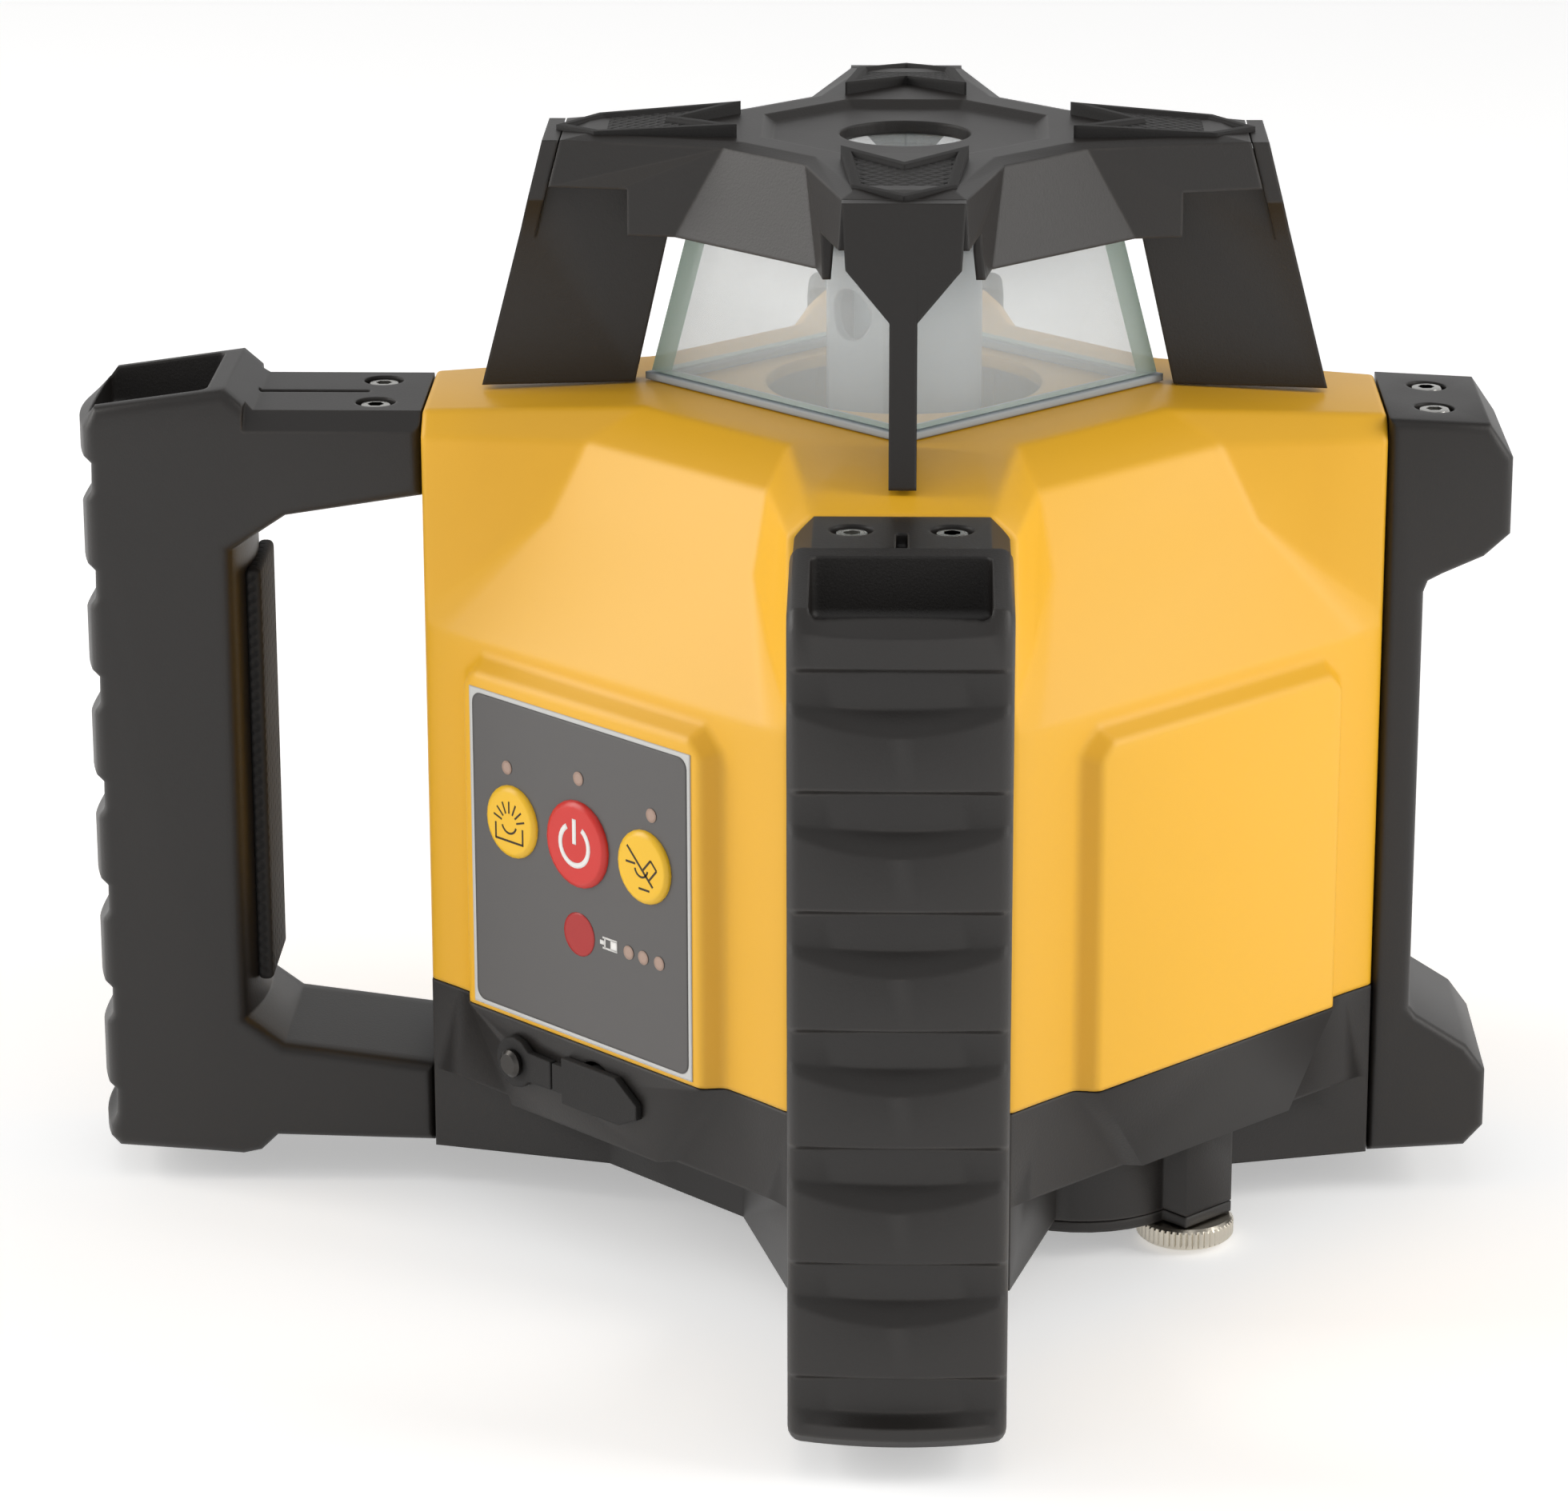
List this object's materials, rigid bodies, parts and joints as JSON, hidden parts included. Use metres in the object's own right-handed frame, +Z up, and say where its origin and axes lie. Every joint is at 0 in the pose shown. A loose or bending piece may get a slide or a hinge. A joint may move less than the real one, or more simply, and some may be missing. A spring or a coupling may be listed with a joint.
{
  "type": "rotating laser level",
  "caption": "Self-levelling rotary laser in a cross-shaped housing with carrying handles, rear bumpers, glass windows under a four-post cap, keypad and tripod thread.",
  "frame": {"origin": "middle of the bounding box on the surface the level stands on, which the tripod boss touches", "axes": "+Z up along the laser head's axis, keypad facing -Y, battery lug and thumb screw on the +X side"},
  "size_m": [0.2744, 0.2426, 0.2302],
  "materials": {
    "housing_yellow": "moulded, fine satin grain",
    "black_plastic": "moulded, fine matt grain",
    "black_rubber": "matt rubber",
    "keypad_grey": "printed polyester film, satin",
    "button_red": "satin",
    "button_yellow": "satin",
    "nickel": "nickel plated, knurled",
    "steel": "plain",
    "brass": "machined",
    "alloy": "cast and machined",
    "head_grey": "satin",
    "frame_grey": "matt sealing gasket",
    "circuit_board": "solder mask",
    "cell_sleeve": "shrink sleeve",
    "glass": "clear, faintly green at the edges"
  },
  "bodies": {
    "body": {"housing_shell": "housing_yellow", "base_shell": "black_plastic", "battery_bay": "black_plastic", "cap": "black_plastic", "handle_front_left": "black_plastic", "handle_front_right": "black_plastic", "bumper_rear_left": "black_plastic", "bumper_rear_right": "black_plastic", "post_front_left": "black_plastic", "post_front_right": "black_plastic", "post_rear_left": "black_plastic", "post_rear_right": "black_plastic", "cap_pad_front_left": "black_rubber", "cap_pad_front_right": "black_rubber", "cap_pad_rear_left": "black_rubber", "cap_pad_rear_right": "black_rubber", "grip_pad_front_left": "black_rubber", "grip_pad_front_right": "black_rubber", "flap_strap": "black_rubber", "keypad_plate": "keypad_grey", "sensor_window": "button_red", "charging_socket": "steel", "flap_screw": "steel", "levelling_motor_x": "steel", "levelling_motor_y": "steel", "tripod_insert": "brass", "chassis": "alloy", "window_frame": "frame_grey", "keypad_board": "circuit_board", "main_board": "circuit_board", "battery_cell_1": "cell_sleeve", "battery_cell_2": "cell_sleeve", "battery_cell_3": "cell_sleeve", "battery_cell_4": "cell_sleeve", "window_front": "glass", "window_right": "glass", "window_rear": "glass", "window_left": "glass", "plumb_window": "glass"},
    "gimbal_ring": {"gimbal_ring": "alloy"},
    "carrier": {"gimbal_carrier": "alloy", "bearing_lower": "steel", "bearing_upper": "steel", "laser_module": "brass", "head_motor": "steel", "drive_belt": "black_rubber"},
    "head": {"rotor_head": "head_grey", "pentaprism": "glass"},
    "motor_pulley": {"motor_pulley": "brass"},
    "levelling_nut_x": {"levelling_nut_x": "brass"},
    "levelling_nut_y": {"levelling_nut_y": "brass"},
    "power_button": {"power_button": "button_red"},
    "scan_button": {"scan_button": "button_yellow"},
    "manual_button": {"manual_button": "button_yellow"},
    "socket_flap": {"socket_flap": "black_rubber"},
    "battery_door": {"battery_door": "black_plastic", "contact_plate": "circuit_board"},
    "thumb_screw": {"thumb_screw": "nickel"}
  },
  "joints": [
    {"name": "gimbal_tilt_x", "type": "hinge", "parent": "body", "child": "gimbal_ring", "pos_m": [0, 0.01549, 0.14], "axis": [1, 0, 0], "range_deg": [-5, 5]},
    {"name": "gimbal_tilt_y", "type": "hinge", "parent": "gimbal_ring", "child": "carrier", "pos_m": [0, 0.01549, 0.14], "axis": [0, 1, 0], "range_deg": [-5, 5]},
    {"name": "head_spin", "type": "hinge", "parent": "carrier", "child": "head", "pos_m": [0, 0.01549, 0.14], "axis": [0, 0, 1], "continuous": true},
    {"name": "motor_spin", "type": "hinge", "parent": "carrier", "child": "motor_pulley", "pos_m": [0, 0.04749, 0.115], "axis": [0, 0, 1], "continuous": true},
    {"name": "nut_x_travel", "type": "slide", "parent": "body", "child": "levelling_nut_x", "axis": [0, 0, 1], "range_m": [-0.0037, 0.0037]},
    {"name": "nut_y_travel", "type": "slide", "parent": "body", "child": "levelling_nut_y", "axis": [0, 0, 1], "range_m": [-0.0037, 0.0037]},
    {"name": "power_button_press", "type": "slide", "parent": "body", "child": "power_button", "axis": [0, 1, 0], "range_m": [0, 0.0008], "stiffness_N_per_m": 800, "springref_m": -0.0005},
    {"name": "scan_button_press", "type": "slide", "parent": "body", "child": "scan_button", "axis": [0, 1, 0], "range_m": [0, 0.0008], "stiffness_N_per_m": 800, "springref_m": -0.0005},
    {"name": "manual_button_press", "type": "slide", "parent": "body", "child": "manual_button", "axis": [0, 1, 0], "range_m": [0, 0.0008], "stiffness_N_per_m": 800, "springref_m": -0.0005},
    {"name": "flap_open", "type": "hinge", "parent": "body", "child": "socket_flap", "pos_m": [-0.0102, -0.07671, 0.0386], "axis": [0, 0, -1], "range_deg": [0, 110]},
    {"name": "door_drop", "type": "slide", "parent": "body", "child": "battery_door", "axis": [0, 0, -1], "range_m": [0, 0.025]},
    {"name": "thumb_screw_turn", "type": "hinge", "parent": "battery_door", "child": "thumb_screw", "pos_m": [0.0776, 0.02289, 0.005], "axis": [0, 0, 1], "range_deg": [0, 1080]}
  ],
  "couplings": [
    {"joint": "motor_spin", "follows": "head_spin", "ratio": 2.4},
    {"joint": "nut_x_travel", "follows": "gimbal_tilt_x", "m_per_rad": -0.0405},
    {"joint": "nut_y_travel", "follows": "gimbal_tilt_y", "m_per_rad": 0.0405}
  ]
}
